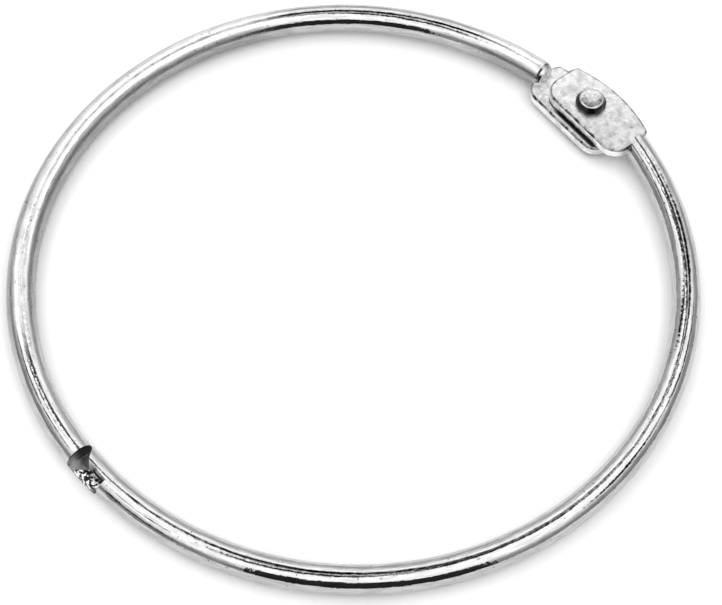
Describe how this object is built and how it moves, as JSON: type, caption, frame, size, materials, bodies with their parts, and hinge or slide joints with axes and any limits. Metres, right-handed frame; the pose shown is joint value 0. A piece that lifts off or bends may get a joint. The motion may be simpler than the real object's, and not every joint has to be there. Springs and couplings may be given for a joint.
{
  "type": "hinged snap ring",
  "caption": "Hinged ring of round nickel-plated wire that opens on a riveted lug hinge and closes in a notched clasp, for hanging a curtain or holding loose leaves.",
  "frame": {"origin": "centre of the closed ring, in the wire's middle plane", "axes": "+Z along the hinge axis towards the rivet's made head, +X from the ring's centre to the hinge, the clasp on -X, half A on the +Y side"},
  "size_m": [0.0844, 0.083, 0.005],
  "materials": {
    "half_a": "polished nickel plate on steel wire, satin on the flattened lug",
    "half_b": "polished nickel plate on steel wire, satin on the flattened lug",
    "rivet": "tumbled nickel plate"
  },
  "bodies": {
    "half_a": {"half_a": "half_a", "rivet": "rivet"},
    "half_b": {"half_b": "half_b"}
  },
  "joints": [
    {"name": "hinge", "type": "hinge", "parent": "half_a", "child": "half_b", "pos_m": [0.03905, 0, 0], "axis": [0, 0, 1], "range_deg": [0, 150]}
  ]
}
